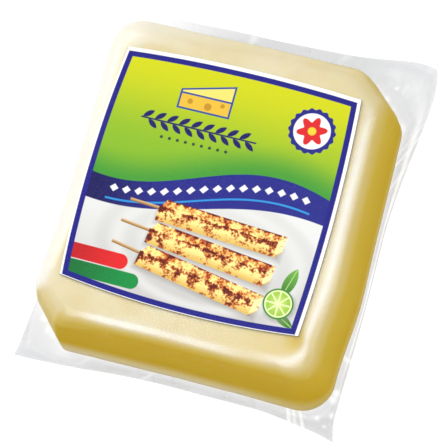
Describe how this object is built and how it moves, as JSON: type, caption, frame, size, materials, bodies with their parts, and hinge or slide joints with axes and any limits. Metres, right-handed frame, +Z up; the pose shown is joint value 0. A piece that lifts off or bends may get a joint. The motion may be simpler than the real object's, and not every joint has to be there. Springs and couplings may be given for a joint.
{
  "type": "vacuum-packed block of coalho cheese",
  "caption": "A low rounded block of firm pale cheese for grilling, sealed tight in clear film with a flat flange round its base, and a printed label with gently bowed sides on top.",
  "frame": {"origin": "on the worktop, under the middle of the film's outline", "axes": "+X to the label's right, +Y to the label's head, +Z up out of the label"},
  "size_m": [0.1034, 0.1178, 0.0321],
  "materials": {
    "cheese_in_film": "pale cream cheese seen through clear glossy film",
    "coated_paper": "printed and varnished, lime green and dark blue",
    "clear_film": "thin clear food film, glossy"
  },
  "bodies": {
    "root": {"vacuum_bag": "cheese_in_film", "label": "coated_paper"}
  },
  "joints": []
}
